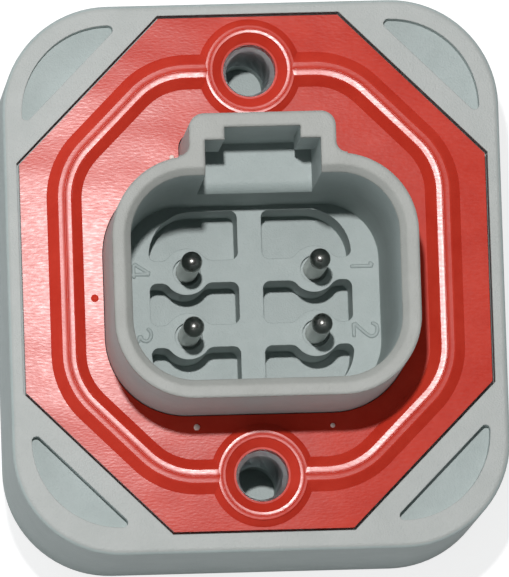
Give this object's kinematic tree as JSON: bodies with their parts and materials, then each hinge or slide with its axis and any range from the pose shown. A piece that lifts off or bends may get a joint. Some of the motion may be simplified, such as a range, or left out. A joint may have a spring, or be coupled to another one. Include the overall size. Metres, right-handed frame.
{
  "type": "sealed connector header",
  "caption": "Sealed rectangular connector header: moulded flange and latch shell, round pins, silicone flange seal and threaded inserts.",
  "frame": {"origin": "centre of the body's rear face, which the part rests on", "axes": "+Z is the mating direction, +Y points from the contacts to the latch housing, +X is across the contact columns"},
  "size_m": [0.0368, 0.0408, 0.029],
  "materials": {
    "housing_plastic": "fine grained moulded surface",
    "seal_silicone": "matte faces with smooth, glossier bead flanks",
    "insert_metal": "turned and nickel plated",
    "contact_plating": "bright nickel plating"
  },
  "bodies": {
    "root": {"housing": "housing_plastic", "flange_seal": "seal_silicone", "insert_top": "insert_metal", "insert_bottom": "insert_metal", "contact_1": "contact_plating", "contact_2": "contact_plating", "contact_3": "contact_plating", "contact_4": "contact_plating"}
  },
  "joints": []
}
